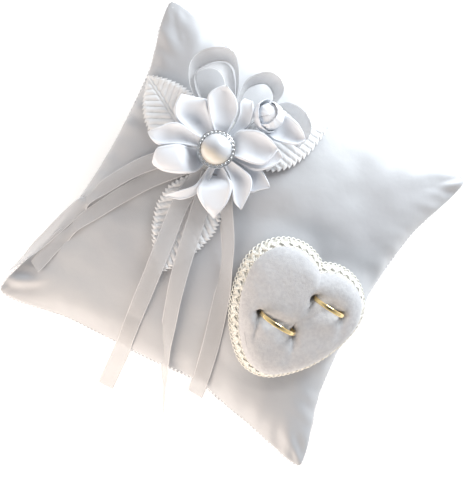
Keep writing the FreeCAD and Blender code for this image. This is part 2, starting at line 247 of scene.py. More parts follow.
def position(tree):
    """Object coordinates, the same scale on every piece."""
    return tree.nodes.new("ShaderNodeTexCoord").outputs["Object"]


def noise_field(tree, scale, detail):
    """Noise with its scale in cells for each metre."""
    field = tree.nodes.new("ShaderNodeTexNoise")
    field.inputs["Scale"].default_value = scale
    field.inputs["Detail"].default_value = detail
    tree.links.new(position(tree), field.inputs["Vector"])
    return field.outputs["Fac"]


def thread_field(tree, direction, scale, distortion):
    """Parallel threads across one direction."""
    field = tree.nodes.new("ShaderNodeTexWave")
    field.bands_direction = direction
    field.inputs["Scale"].default_value = scale
    field.inputs["Distortion"].default_value = distortion
    tree.links.new(position(tree), field.inputs["Vector"])
    return field.outputs["Fac"]


def combine(tree, operation, first, second):
    """Arithmetic on two patterns or numbers."""
    node = tree.nodes.new("ShaderNodeMath")
    node.operation = operation
    for socket, value in zip(node.inputs, (first, second)):
        if isinstance(value, (int, float)):
            socket.default_value = value
        else:
            tree.links.new(value, socket)
    return node.outputs[0]


def color_ramp(tree, fac, stops):
    """Colours for a pattern; a stop is a place from 0 to 1 and its colour."""
    ramp = tree.nodes.new("ShaderNodeValToRGB")
    elements = ramp.color_ramp.elements
    for element, (place, color) in zip(elements, (stops[0], stops[-1])):
        element.position = place
        element.color = (*color, 1)
    for place, color in stops[1:-1]:
        elements.new(place).color = (*color, 1)
    tree.links.new(fac, ramp.inputs["Fac"])
    return ramp.outputs["Color"]


def weave_field(tree, operation, warp, weft):
    """Threads both ways; the warp and the weft are each a scale and a distortion."""
    return combine(tree, operation, thread_field(tree, "X", *warp), thread_field(tree, "Y", *weft))


FIELDS = {"noise": noise_field, "threads": thread_field, "weave": weave_field}


def add_bump(tree, shader, height, strength, distance):
    """Bumps the surface; distance is in mm. A second call adds to the first."""
    node = tree.nodes.new("ShaderNodeBump")
    node.inputs["Strength"].default_value = strength
    node.inputs["Distance"].default_value = distance * MM
    tree.links.new(height, node.inputs["Height"])
    normal = shader.inputs["Normal"]
    if normal.links:
        tree.links.new(normal.links[0].from_socket, node.inputs["Normal"])
    tree.links.new(node.outputs["Normal"], normal)


def make_material(name, color, roughness, tone, bumps, **sockets):
    """A material whose colour drifts with noise, under layers of bump.

    tone is the noise's scale and detail and the stops of its colours. A bump is a field with its
    settings, a strength and a distance in mm.
    """
    material, tree, shader = start_material(name, color, roughness, **sockets)
    scale, detail, *stops = tone
    tree.links.new(color_ramp(tree, noise_field(tree, scale, detail), stops), shader.inputs["Base Color"])
    for (field, *settings), strength, distance in bumps:
        add_bump(tree, shader, FIELDS[field](tree, *settings), strength, distance)
    return material


def satin_material(name, light, shade, roughness, crumple, gloss):
    """Woven satin: long floats one way, finer threads the other, and soft crumples."""
    tone = (22, 2.0, (0.35, shade), (0.65, light))
    bumps = [(("weave", "ADD", (900, 0.6), (420, 0.9)), 0.12, 0.12), (("noise", 70, 4.0), crumple, 1.2)]
    return make_material(
        name, light, roughness, tone, bumps,
        Sheen_Weight=0.25, Sheen_Roughness=0.4, Specular_IOR_Level=gloss,
    )


def cord_material(name, light, shade, roughness):
    """Twisted rayon thread: close diagonal strands with a shine."""
    tone = (160, 3.0, (0.35, shade), (0.65, light))
    bumps = [(("threads", "DIAGONAL", 900, 1.5), 0.5, 0.15)]
    return make_material(name, light, roughness, tone, bumps, Sheen_Weight=0.35, Specular_IOR_Level=0.6)


def fibre_material(name, light, shade, scale):
    """Felt, wadding, foam or card: a matt material with a grain."""
    tone = (scale, 6.0, (0.35, shade), (0.65, light))
    return make_material(name, light, 0.95, tone, [(("noise", scale, 6.0), 0.6, 0.4)], Sheen_Weight=0.3)


def organza_material():
    """Sheer ribbon: a fine open weave between two denser woven edges."""
    material, tree, shader = start_material(
        "sheer_organza", (0.62, 0.62, 0.635), 0.36, Sheen_Weight=0.3, Specular_IOR_Level=0.5
    )
    across = tree.nodes.new("ShaderNodeAttribute")
    across.attribute_name = "across"
    edge = combine(tree, "ABSOLUTE", across.outputs["Fac"], 0.0)
    selvedge = combine(tree, "GREATER_THAN", edge, 0.88)
    threads = weave_field(tree, "MULTIPLY", (640, 0.4), (640, 0.4))
    cover = combine(tree, "ADD", combine(tree, "MULTIPLY", threads, 0.25), 0.46)
    cover = combine(tree, "ADD", cover, combine(tree, "MULTIPLY", selvedge, 0.4))
    tree.links.new(combine(tree, "MINIMUM", cover, 1.0), shader.inputs["Alpha"])
    add_bump(tree, shader, threads, 0.2, 0.1)
    return material


def gold_material():
    """Polished gold with faint wear."""
    tone = (250, 2.0, (0.3, (0.86, 0.64, 0.3)), (0.7, (0.93, 0.74, 0.4)))
    bumps = [(("noise", 1500, 3.0), 0.05, 0.05)]
    material = make_material("polished_gold", (0.93, 0.72, 0.36), 0.08, tone, bumps, Metallic=1.0)
    tree = material.node_tree
    stops = [(0.35, (0.05, 0.05, 0.05)), (0.7, (0.12, 0.12, 0.12))]
    wear = color_ramp(tree, noise_field(tree, 900, 5.0), stops)
    tree.links.new(wear, tree.nodes["Principled BSDF"].inputs["Roughness"])
    return material


def pearl_material():
    """Nacre under a clear coat, clouded, with painted light across it: a painted warm glow at the near
    side, a painted band of shade across the middle and a painted cool brightness at the far side.
    """
    material, tree, shader = start_material(
        "nacre", (0.68, 0.66, 0.65), 0.32, Metallic=0.3, Coat_Weight=0.6, Coat_Roughness=0.14
    )
    split = tree.nodes.new("ShaderNodeSeparateXYZ")
    tree.links.new(position(tree), split.inputs["Vector"])
    across = combine(tree, "SUBTRACT", split.outputs["Y"], (FLOWER[1] - PEARL_RADIUS) * MM)
    across = combine(tree, "DIVIDE", across, 2 * PEARL_RADIUS * MM)
    cloud = combine(tree, "MULTIPLY", combine(tree, "SUBTRACT", noise_field(tree, 90, 2.0), 0.5), 0.35)
    # painted light from the near side to the far side: painted warm glow, painted band of shade, then
    # painted cool brightness; the noise clouds it
    stops = [
        (0.08, (0.8, 0.75, 0.68)), (0.3, (0.74, 0.68, 0.58)), (0.46, (0.56, 0.56, 0.58)),
        (0.62, (0.66, 0.68, 0.72)), (0.85, (0.82, 0.84, 0.87)),
    ]
    painted_light_band = color_ramp(tree, combine(tree, "ADD", across, cloud), stops)
    tree.links.new(painted_light_band, shader.inputs["Base Color"])
    add_bump(tree, shader, noise_field(tree, 700, 3.0), 0.04, 0.05)
    return material


PILLOW_SATIN = satin_material("pillow_satin", (0.50, 0.51, 0.53), (0.475, 0.48, 0.50), 0.36, 0.4, 0.2)
PETAL_SATIN = satin_material("petal_satin", (0.81, 0.835, 0.88), (0.77, 0.795, 0.845), 0.5, 0.12, 0.45)
ORGANZA = organza_material()
VELVET = make_material(
    "flocked_velvet", (0.5, 0.5, 0.53), 0.95,
    (520, 6.0, (0.32, (0.485, 0.485, 0.505)), (0.5, (0.52, 0.52, 0.535)), (0.68, (0.56, 0.56, 0.57))),
    [(("noise", 1500, 3.0), 0.6, 0.35), (("noise", 330, 4.0), 0.5, 0.7)],
    Sheen_Weight=0.45, Sheen_Roughness=0.5, Specular_IOR_Level=0.1,
)
LEAF = make_material(
    "leaf_fabric", (0.9, 0.9, 0.9), 0.5,
    (60, 3.0, (0.3, (0.74, 0.745, 0.755)), (0.7, (0.82, 0.825, 0.84))),
    [(("weave", "MULTIPLY", (500, 0.5), (500, 0.5)), 0.25, 0.12), (("noise", 300, 3.0), 0.2, 0.3)],
    Sheen_Weight=0.3, Specular_IOR_Level=0.4,
)
BRAID = cord_material("cream_rayon_braid", (0.88, 0.87, 0.815), (0.82, 0.8, 0.73), 0.26)
THREAD = cord_material("sewing_thread", (0.56, 0.565, 0.58), (0.5, 0.5, 0.52), 0.5)
GOLD = gold_material()
SILVER = make_material(
    "bright_silver", (0.6, 0.61, 0.62), 0.13,
    (400, 3.0, (0.3, (0.5, 0.51, 0.52)), (0.7, (0.68, 0.69, 0.7))),
    [(("noise", 1800, 2.0), 0.06, 0.05)],
    Metallic=1.0,
)
NACRE = pearl_material()
FELT = fibre_material("white_felt", (0.88, 0.88, 0.87), (0.78, 0.78, 0.77), 900)
FOAM = fibre_material("cream_foam", (0.86, 0.83, 0.74), (0.74, 0.70, 0.6), 700)
WADDING = fibre_material("fibre_wadding", (0.93, 0.93, 0.93), (0.82, 0.82, 0.82), 300)
CARD = fibre_material("grey_card", (0.74, 0.72, 0.68), (0.64, 0.62, 0.58), 1500)


# ---------------------------------------------------------------- pillow
def seam_place(u, v):
    """The outline stretched over a square: u and v run from -1 to 1."""
    across, along = (u + 1) / 2, (v + 1) / 2
    x = mix(mix(LEFT_BOTTOM[0], RIGHT_BOTTOM[0], across), mix(LEFT_TOP[0], RIGHT_TOP[0], across), along)
    y = mix(mix(LEFT_BOTTOM[1], LEFT_TOP[1], along), mix(RIGHT_BOTTOM[1], RIGHT_TOP[1], along), across)
    x -= u * mix(PULL_LEFT, PULL_RIGHT, across) * (1 - v * v)
    y -= v * mix(PULL_BOTTOM, PULL_TOP, along) * (1 - u * u)
    return x, y


# how square the ears' corners are, and how far they are drawn out, as a share
EAR_ROUNDNESS = 10
EAR_STRETCH = 0.09


def soft_seam_place(u, v):
    """The outline with blunt, rounded corners."""
    largest = max(abs(u), abs(v))
    if largest == 0:
        return seam_place(u, v)
    powers = abs(u / largest) ** EAR_ROUNDNESS + abs(v / largest) ** EAR_ROUNDNESS
    rounding = powers ** (-1 / EAR_ROUNDNESS)
    amount = ease(0.5, 1.0, largest)
    change = mix(1, rounding, amount) * (1 + EAR_STRETCH * ease(0.55, 1.0, abs(u * v)))
    x, y = seam_place(u, v)
    return x * change, y * change


def fullness(u, v):
    """How full the pillow is: 1 at its middle, 0 along its seam."""
    across = max(0.0, 1 - abs(u) ** SQUARENESS)
    along = max(0.0, 1 - abs(v) ** SQUARENESS)
    return math.sqrt(across * along)


HALF_WIDTH, HALF_DEPTH = 100, 97


def design_crown(x, y):
    """Height of the CAD pillow's top panel, found by closing in on the place's u and v."""
    u, v = x / HALF_WIDTH, y / HALF_DEPTH
    for _ in range(12):
        px, py = seam_place(u, v)
        u = max(-1.0, min(1.0, u + (x - px) / HALF_WIDTH))
        v = max(-1.0, min(1.0, v + (y - py) / HALF_DEPTH))
    return SEAM_HEIGHT + CROWN * fullness(u, v)


HEART_BASE = Vector((*HEART_PLACE, design_crown(*HEART_PLACE) - HEART_SINK))
HEART_TURN = Matrix.Rotation(math.radians(HEART_TILT_X), 3, "Y") @ Matrix.Rotation(
    math.radians(HEART_TILT_Y), 3, "X"
)
HEART_NORMAL = HEART_TURN @ UP


def on_heart(point):
    """From the heart cushion's own frame to the pillow's."""
    return HEART_TURN @ Vector(point) + HEART_BASE


def heart_line(reach, count):
    """The heart's outline, grown by reach: two lobes, bowed flanks and a rounded tip."""
    lobe = Vector((LOBE_X, LOBE_Y))
    tip = Vector((0, TIP_Y))
    lobe_radius = LOBE_RADIUS + reach
    tip_radius = TIP_RADIUS + reach
    flank_radius = FLANK_RADIUS + reach
    span = lobe - tip
    to_lobe = flank_radius - lobe_radius
    to_tip = flank_radius - tip_radius
    along = (span.length_squared + to_tip**2 - to_lobe**2) / (2 * span.length)
    ahead = span.normalized()
    flank = tip + ahead * along + Vector((-ahead.y, ahead.x)) * math.sqrt(to_tip**2 - along**2)

    def arc(centre, radius, start, end, count):
        turns = np.linspace(start, end, count)
        return [(centre.x + radius * math.cos(t), centre.y + radius * math.sin(t)) for t in turns]

    notch = math.atan2(math.sqrt(lobe_radius**2 - LOBE_X**2), -LOBE_X)
    to_flank = math.atan2(lobe.y - flank.y, lobe.x - flank.x)
    to_end = math.atan2(tip.y - flank.y, tip.x - flank.x)
    right = arc(lobe, lobe_radius, notch, to_flank, 40)[:-1]
    right += arc(flank, flank_radius, to_flank, to_end, 20)[:-1]
    right += arc(tip, tip_radius, to_end, -math.pi / 2, 20)
    left = [(-x, y) for x, y in right[-2:0:-1]]
    return smooth_line(right + left, count, closed=True)


outline = heart_line(0, 720)
outline_turns = np.arctan2(outline[:, 1], outline[:, 0])
outline_order = np.argsort(outline_turns)
outline_turns = outline_turns[outline_order]
outline_reach = np.linalg.norm(outline, axis=1)[outline_order]


def heart_reach(turn):
    """Distance from the heart's middle to its outline."""
    turn = math.atan2(math.sin(turn), math.cos(turn))
    return float(np.interp(turn, outline_turns, outline_reach, period=2 * math.pi))


# the panels: steps along a side, and the side they are cut to
PANEL_STEPS = 100
CUT_SIDE = 224
# the stuffing: volume in cubic metres, frames, and how much larger than life it is worked out
STUFFED_VOLUME = 1.35e-3
SIM_FRAMES = 30
SIM_SCALE = 5
EAR_CALMING = 30
# where the bottom edge is slack or drawn in: middle and width as shares of the side, mm outwards
BOTTOM_SLACK = [(-0.35, 0.5, 4.0), (0.25, 0.16, -2.0), (0.55, 0.2, 2.0)]


def pillow_grid():
    """Numbers of the points of both panels; the panels share their seam."""
    numbers, places = {}, []
    steps = PANEL_STEPS
    for side in (1, -1):
        for i in range(steps + 1):
            for j in range(steps + 1):
                on_seam = i in (0, steps) or j in (0, steps)
                if side < 0 and on_seam:
                    numbers[side, i, j] = numbers[1, i, j]
                    continue
                numbers[side, i, j] = len(places)
                places.append((side, 2 * i / steps - 1, 2 * j / steps - 1, on_seam))
    faces = []
    for side in (1, -1):
        for i in range(steps):
            for j in range(steps):
                ring = [(i, j), (i + 1, j), (i + 1, j + 1), (i, j + 1)]
                face = [numbers[side, a, b] for a, b in ring]
                faces.append(face if side > 0 else face[::-1])
    return numbers, places, faces


def stuffed_start(side, u, v):
    """The pillow's shape before it is stuffed tight, a little uneven."""
    x, y = soft_seam_place(u, v)
    full = fullness(u, v)
    uneven = 1 + 0.10 * math.sin(9 * u + 2) * math.sin(7 * v + 1) * (1 - full)
    return Vector((x, y, SEAM_HEIGHT + (CROWN - 2 if side > 0 else 2 - BELLY) * full * uneven))


def stuff(places, faces):
    """Stuffs the two flat panels to their volume; returns points in mm."""
    start = [stuffed_start(side, u, v) for side, u, v, _ in places]
    # larger than life, because the cloth solver is steadier on large pieces
    scale = MM * SIM_SCALE
    mesh = bpy.data.meshes.new("stuffing")
    mesh.from_pydata([tuple(p * scale) for p in start], [], faces)
    panel = bpy.data.objects.new("stuffing", mesh)
    scene.collection.objects.link(panel)
    panel.shape_key_add(name="Basis")
    flat = panel.shape_key_add(name="flat")
    for number, (side, u, v, on_seam) in enumerate(places):
        rise = 0 if on_seam else 0.1 * side
        half = CUT_SIDE / 2
        flat.data[number].co = Vector((u * half, v * half, SEAM_HEIGHT + rise)) * scale
    flat.value = 0
    seam = panel.vertex_groups.new(name="seam")
    seam.add([k for k, place in enumerate(places) if place[3]], 1.0, "REPLACE")
    cloth = panel.modifiers.new("stuffing", "CLOTH")
    fabric = cloth.settings
    fabric.quality = 6
    fabric.mass = 0.3
    fabric.tension_stiffness = 30
    fabric.compression_stiffness = 30
    fabric.shear_stiffness = 10
    fabric.bending_stiffness = 0.5
    fabric.air_damping = 2
    fabric.use_pressure = True
    fabric.uniform_pressure_force = 0
    fabric.use_pressure_volume = True
    fabric.target_volume = STUFFED_VOLUME * SIM_SCALE**3
    fabric.pressure_factor = 100
    fabric.rest_shape_key = flat
    fabric.vertex_group_mass = "seam"
    fabric.effector_weights.gravity = 0
    cloth.collision_settings.use_collision = False
    cloth.point_cache.frame_start = 1
    cloth.point_cache.frame_end = SIM_FRAMES
    scene.frame_start = 1
    scene.frame_end = SIM_FRAMES
    for number in range(1, SIM_FRAMES + 1):
        scene.frame_set(number)
    stuffed = panel.evaluated_get(bpy.context.evaluated_depsgraph_get())
    result = [v.co / scale for v in stuffed.data.vertices]
    bpy.data.objects.remove(panel)
    scene.frame_set(1)
    return result


def cloth_relief(side, u, v):
    """How far the cloth stands off its smooth shape, in mm: dimples, puckers, folds at the ears."""
    from_seam = 100 * (1 - max(abs(u), abs(v)))
    along = u if abs(v) > abs(u) else v
    edge = round(math.atan2(v, u) / (math.pi / 2)) % 4
    ripple = noise.noise(Vector((along * 13, edge * 7.3, side * 3.1 + from_seam * 0.02)))
    strength = 0.7 + noise.noise(Vector((along * 2.6 + 9, edge * 5.1, side * 1.7)))
    corner = ease(0.62, 0.95, abs(u * v))
    puckers = 2.2 * ripple * bump(from_seam - 5, 9) * max(0.15, strength + 0.5 * corner)
    dimples = 1.9 * noise.noise(Vector((u * 2.4 + 3.7, v * 2.4 + 1.2, side * 2.0)))
    dimples += 0.8 * noise.noise(Vector((u * 6.3, v * 6.3 + 8.0, side * 4.0)))
    spread = math.atan2(1 - abs(v) + 0.0001, 1 - abs(u) + 0.0001)
    from_corner = 100 * math.hypot(1 - abs(u), 1 - abs(v))
    quarter = (u > 0) + 2 * (v > 0)
    folds = math.sin(spread * 7.5 + quarter * 1.9 + 0.03 * from_corner) * bump(from_corner - 12, 9)
    return puckers + dimples * ease(0, 12, from_seam) + 0.9 * folds * ease(0, 6, from_seam)


def press_for_heart(place):
    """Shapes the top panel to the underside of the heart cushion."""
    local = HEART_TURN.transposed() @ (place - HEART_BASE)
    distance = math.hypot(local.x, local.y) - heart_reach(math.atan2(local.y, local.x))
    hold = 1 - ease(1.5, 16, distance)
    bed = -0.7 - 0.25 * max(0.0, distance)
    return place + HEART_NORMAL * ((bed - local.z) * hold)


def calm_ears(numbers, points):
    """Softens the sharp creases that stuffing leaves near the corners."""
    count = PANEL_STEPS + 1
    from_middle = np.abs(np.linspace(-1, 1, count))
    share = np.clip((np.outer(from_middle, from_middle) - 0.25) / 0.4, 0, 0.5)[1:-1, 1:-1, None]
    for side in (1, -1):
        order = [[numbers[side, i, j] for j in range(count)] for i in range(count)]
        grid = np.array([[tuple(points[number]) for number in row] for row in order])
        for _ in range(EAR_CALMING):
            around = (grid[2:, 1:-1] + grid[:-2, 1:-1] + grid[1:-1, 2:] + grid[1:-1, :-2]) / 4
            grid[1:-1, 1:-1] += (around - grid[1:-1, 1:-1]) * share
        for row, line in zip(order, grid):
            for number, place in zip(row, line):
                points[number] = Vector(place)


def slacken_bottom(u, v):
    """How far the uneven bottom edge stands out, as a shift in mm."""
    out = sum(reach * bump(u - middle, width) for middle, width, reach in BOTTOM_SLACK)
    return Vector((0, -out * ease(0.2, 1.0, -v), 0))


# the cover flattens on the floor below this height, and how gently it bends to do so
NEAR_FLOOR = 12
FLOOR_SOFTNESS = 1.5


def build_pillow():
    """The stuffed satin cover with its folds, and the wadding just inside it."""
    numbers, places, faces = pillow_grid()
    points = stuff(places, faces)
    calm_ears(numbers, points)
    points = [point + slacken_bottom(u, v) for (_, u, v, _), point in zip(places, points)]
    mesh = bpy.data.meshes.new("normals")
    mesh.from_pydata([tuple(p) for p in points], [], faces)
    normals = [v.normal.copy() for v in mesh.vertices]
    bpy.data.meshes.remove(mesh)
    shaped = []
    for (side, u, v, on_seam), point, normal in zip(places, points, normals):
        place = point.copy()
        if not on_seam:
            place += normal * cloth_relief(side, u, v)
            if side > 0:
                place = press_for_heart(place)
        if place.z < NEAR_FLOOR:
            place.z = 0.5 * (place.z + math.sqrt(place.z**2 + FLOOR_SOFTNESS))
        shaped.append(place)
    panels = ("pillow_cover_top", "pillow_cover_bottom")
    pillow = add_piece("pillow_satin_cover", shaped, faces, PILLOW_SATIN, panels, "satin")
    add_smoothing(pillow)

    inner = [p - n * 1.5 for p, n in zip(shaped, normals)]
    inner = [Vector((p.x * 0.985, p.y * 0.985, max(p.z, 1.2))) for p in inner]
    wadding = add_piece("pillow_wadding", inner, faces, WADDING, ("pillow_filling",), "filling")
    return numbers, shaped, faces


pillow_numbers, pillow_points, pillow_faces = build_pillow()
pillow_tree = BVHTree.FromPolygons([tuple(p) for p in pillow_points], pillow_faces)

HIGH_ABOVE = 150


def crown(x, y, lift=0.0):
    """A point above the finished top panel; past its edge, above the seam's height."""
    hit = pillow_tree.ray_cast(Vector((x, y, HIGH_ABOVE)), -UP)[0]
    height = hit.z if hit else SEAM_HEIGHT
    return Vector((x, y, height + lift))


def seam_line():
    """The seam's points in order round the pillow."""
    steps = PANEL_STEPS
    walk = [(i, 0) for i in range(steps)] + [(steps, j) for j in range(steps)]
    walk += [(i, steps) for i in range(steps, 0, -1)] + [(0, j) for j in range(steps, 0, -1)]
    return [pillow_points[pillow_numbers[1, i, j]] for i, j in walk]


STITCH_COUNT = 330
# the stretch of the bottom edge that is closed by hand
CLOSED_FROM, CLOSED_TO = -16, 46


def add_stitches(name, node, stitches, radius):
    """Short lengths of thread; a stitch is its middle and half of its run."""
    heap = Heap()
    for centre, half in stitches:
        rod = np.array([centre + half * share for share in (-1, -0.5, 0.5, 1)])
        heap.add(*tube_mesh(rod, radius, 6))
    add_piece(name, heap.verts, heap.faces, THREAD, (node,), "thread")


def build_stitches():
    """Machine stitches all round the seam and hand stitches where the pillow was closed."""
    line = smooth_line(seam_line(), STITCH_COUNT, closed=True)
    machine, hand = [], []
    for place, way in zip(line, directions(line, closed=True)):
        place, way = Vector(place), Vector(way)
        inside = Vector((place.x * 0.996, place.y * 0.996, place.z - 0.2))
        machine.append((inside, way * 0.75))
        if CLOSED_FROM < place.x < CLOSED_TO and place.y < 0:
            hand.append((place - Vector((0, 0.3, 0)), way * 0.7 + UP * 0.75))
    add_stitches("seam_stitches", "seam_thread", machine, 0.2)
    add_stitches("hand_stitches", "closing_stitches", hand, 0.22)


build_stitches()


# ---------------------------------------------------------------- heart cushion and rings
PAD_PROFILE = [
    (0.0, 17.0), (0.2, 17.0), (0.4, 16.95), (0.62, 16.7), (0.8, 15.8), (0.93, 13.6),
    (1.01, 10.6), (1.035, 7.6), (1.02, 4.4), (0.97, 0.9),
]
CREASE_TURN = math.radians(-70)
CREASE = (math.cos(CREASE_TURN), math.sin(CREASE_TURN))


def crease_depth(x, y, start_x, start_y, length, width):
    """A fold that starts at a ring's end and fades as it runs down the cushion."""
    along = (x - start_x) * CREASE[0] + (y - start_y) * CREASE[1]
    aside = (x - start_x) * CREASE[1] - (y - start_y) * CREASE[0]
    if along < -1.5 or along > length:
        return 0.0
    return bump(aside, width * (0.7 + 0.6 * max(along, 0) / length)) * (1 - ease(0, length, along))


def velvet_dents(x, y):
    """How deep the velvet is drawn in round the rings, in mm."""
    depth = 0.0
    for ring in RINGS.values():
        cx, cy = ring["place"]
        half = math.sqrt(ring["radius"] ** 2 - ring["depth"] ** 2)
        beyond = max(0.0, abs(x - cx) - half)
        aside = y - cy
        depth += 4.0 * bump(aside, 1.35) * bump(beyond, 0.6)
        depth += 1.6 * bump(aside, 5) * bump(beyond, 3)
        depth -= 0.9 * bump(aside + 7, 4) * bump(beyond, 4)
        for end in (-1, 1):
            tip = cx + end * half
            depth += 3.0 * bump(math.hypot(x - tip - end * 0.4, aside), 1.5)
            depth += 3.0 * crease_depth(x, y, tip, cy, 20 if end < 0 else 11, 0.9)
            depth += 1.2 * crease_depth(x, y, tip + end * 0.8, cy - 1, 24, 3.0)
    return depth


def pad_points(skin):
    """The pad's surface in the heart's frame; skin draws it in."""
    profile = smooth_line(PAD_PROFILE, 84)
    columns = 300
    ways = circle_points(columns)
    reaches = [heart_reach(math.atan2(y, x)) - skin for x, y in ways]
    verts = []
    for share, height in profile[1:]:
        for (way_x, way_y), reach in zip(ways, reaches):
            x, y = share * reach * way_x, share * reach * way_y
            fluff = 0.35 * noise.noise(Vector((x * 0.13, y * 0.13, height * 0.13)))
            drop = velvet_dents(x, y) * ease(6, 14, height)
            level = (height - skin) + (fluff - drop) if share < 0.97 else height
            verts.append((x * (1 + fluff * 0.02), y * (1 + fluff * 0.02), level))
    rows = len(profile) - 1
    faces = grid_faces(rows, columns, False, True)
    verts.append((0, 0, PAD_TOP - skin))
    faces += [(len(verts) - 1, (k + 1) % columns, k) for k in range(columns)][::-1]
    verts.append((0, 0, PAD_PROFILE[-1][1]))
    last = (rows - 1) * columns
    faces += [(len(verts) - 1, last + k, last + (k + 1) % columns) for k in range(columns)]
    return [on_heart(v) for v in verts], faces


def build_heart():
    """The velvet pad and the foam just inside it."""
    velvet = add_piece("heart_velvet", *pad_points(0), VELVET, ("heart_velvet_cover",), "velvet")
    foam = add_piece("heart_foam_core", *pad_points(1.2), FOAM, ("heart_foam",), "foam")


# the braid's middle, out from the heart's outline and up from its underside
BRAID_REACH, BRAID_HEIGHT = 2.3, 3.4


def braid_frames(count):
    """Middle, width direction and outward direction at each step round the heart's foot."""
    middle = heart_line(BRAID_REACH, count)
    ways = directions(middle, closed=True)
    frames = []
    for (x, y), (wx, wy) in zip(middle, ways):
        outward = Vector((wy, -wx, 0))
        if outward.x * x + outward.y * y < 0:
            outward = -outward
        down = (outward * 0.72 - UP * 0.69).normalized()
        face = (outward * 0.69 + UP * 0.72).normalized()
        frames.append((Vector((x, y, BRAID_HEIGHT)), down, face))
    return frames


def braid_cord(frames, course, radius):
    """One cord of the braid; course gives its place across and above the braid at each step."""
    line = []
    for k, (middle, down, face) in enumerate(frames):
        across, height = course(k / len(frames))
        line.append(on_heart(middle + down * across + face * height))
    return tube_mesh(np.array(line), radius, 7, closed=True)


PLAIT_PERIODS = 15


def plait_course(start, twin):
    """A strand of the three-strand plait: it swings across and weaves over and under."""

    def course(part):
        phase = 2 * math.pi * (PLAIT_PERIODS * part + start)
        sway = 0.25 * math.sin(2 * math.pi * (7 * part + start))
        return 2.1 * math.sin(phase) + twin + sway, 0.45 + 0.6 * math.cos(2 * phase)

    return course


def edge_course(start, middle, swing):
    """A looped edging cord beside the plait."""

    def course(part):
        phase = 2 * math.pi * (3 * PLAIT_PERIODS * part + start)
        return middle + swing * math.sin(phase), 0.1 + 0.3 * math.cos(phase)

    return course


def build_trim():
    """A plait of three strands of three cords on a tape, with looped edges and bright knots."""
    frames = braid_frames(900)
    braid = Heap()
    section = ((-3.0, 0.0), (0.0, 0.45), (3.2, 0.0), (3.2, -0.7), (-3.0, -0.7))
    tape = []
    for middle, down, face in frames:
        tape += [on_heart(middle + down * across + face * height) for across, height in section]
    braid.add(tape, grid_faces(len(frames), len(section), True, True))
    for strand in range(3):
        for twin in (-0.62, 0.0, 0.62):
            braid.add(*braid_cord(frames, plait_course(strand / 3, twin), 0.4))
    for start in (0.0, 0.5):
        braid.add(*braid_cord(frames, edge_course(start, 3.4, 0.95), 0.42))
        braid.add(*braid_cord(frames, edge_course(start, -2.2, 0.6), 0.4))
    knots = 3 * PLAIT_PERIODS
    for knot in range(knots):
        middle, down, face = frames[round((knot + 0.35) * len(frames) / knots) % len(frames)]
        large = knot % 4 == 0
        across, size = (1.7, 0.9) if large else (dice.uniform(-1.6, 2.2), 0.55)
        braid.add(*ball_mesh(on_heart(middle + down * across + face), size, 10))
    add_piece("heart_gimp_braid", braid.verts, braid.faces, BRAID, ("heart_trim_braid",), "braid")


def build_rings():
    """Plain bands with a domed outside and softly rounded rims."""
    steps, sides = 180, 24
    profile = []
    for out, along in circle_points(sides):
        dome = math.copysign(abs(out) ** 0.85, out)
        profile.append((dome * RING_THICKNESS / 2, along * RING_WIDTH / 2))
    for name, ring in RINGS.items():
        x, y = ring["place"]
        level = PAD_TOP - ring["depth"]
        middle = ring["radius"] - RING_THICKNESS / 2
        verts = []
        for way_x, way_z in circle_points(steps):
            for out, along in profile:
                reach = middle + out
                verts.append(on_heart((x + reach * way_x, y + along, level + reach * way_z)))
        faces = grid_faces(steps, sides, True, True)
        add_piece(name + "_band", verts, faces, GOLD, (name,), "gold", body=name)


build_heart()
build_trim()
build_rings()


# ---------------------------------------------------------------- flower spray: leaves and petals
FLOWER_HEIGHT = design_crown(*FLOWER)


SATIN_THICKNESS, LEAF_THICKNESS, ORGANZA_THICKNESS = 0.4, 0.35, 0.14


def add_sheet(
    name, rows, material, thickness, node, slot, smooth=True
):
    """A piece of cloth from rows of points; each row runs across it.
    """
    count = len(rows[0])
    verts = [p for row in rows for p in row]
    piece = add_piece(name, verts, grid_faces(len(rows), count), material, (node,), slot)
    across = piece.data.attributes.new("across", "FLOAT", "POINT")
    across.data.foreach_set("value", [2 * k / (count - 1) - 1 for _ in rows for k in range(count)])
    solid = piece.modifiers.new("thickness", "SOLIDIFY")
    solid.thickness = thickness * MM
    solid.offset = 0
    if smooth:
        add_smoothing(piece)


def leaf_half(part):
    """Half-width along a leaf as a share of its widest."""
    return (math.sin(math.pi * part**0.72) + 0.0001) ** 0.8


VEIN_PITCH, VEIN_SLANT = 4.4, 0.75


def build_leaf(name, node, angle, aside, start, length, width, bend, tooth_pitch, tooth_depth, lift):
    """An embossed leaf: midrib, puffed ribs between side veins, toothed edge."""
    rows = []
    steps, columns = 150, 57
    span = length - start
    for i in range(steps + 1):
        part = i / steps
        turn = math.radians(angle + bend * part * part)
        ahead = Vector((math.cos(turn), math.sin(turn), 0))
        side = Vector((-math.sin(turn), math.cos(turn), 0))
        base = Vector((*FLOWER, 0)) + ahead * mix(start, length, part) + side * aside
        tooth = (part * span / tooth_pitch) % 1.0
        smooth_half = width / 2 * leaf_half(part)
        half = max(0.3, smooth_half - tooth_depth * tooth * ease(0.5, 3, smooth_half))
        row = []
        for k in range(columns):
            share = 2 * k / (columns - 1) - 1
            across = abs(share) * half
            vein = (part * span - VEIN_SLANT * across) / VEIN_PITCH
            puff = 1.0 * abs(math.sin(math.pi * vein)) ** 0.6 * ease(0.6, 2.2, across)
            puff *= ease(0.0, 2.2, half - across)
            rib = 0.7 * bump(across, 0.55)
            curl = 1.8 * share * share * math.sin(math.pi * part) + 1.8 * part**4
            place = base + side * (half * share)
            row.append(crown(place.x, place.y, lift + puff + rib + curl))
        rows.append(row)
    add_sheet(name, rows, LEAF, LEAF_THICKNESS, node, "leaf_fabric", smooth=False)


def edge_line(points, count):
    """One edge of a piece of the flower; heights count from the crown under the flower."""
    placed = [(FLOWER[0] + x, FLOWER[1] + y, FLOWER_HEIGHT + z) for x, y, z in points]
    return [Vector(p) for p in smooth_line(placed, count)]


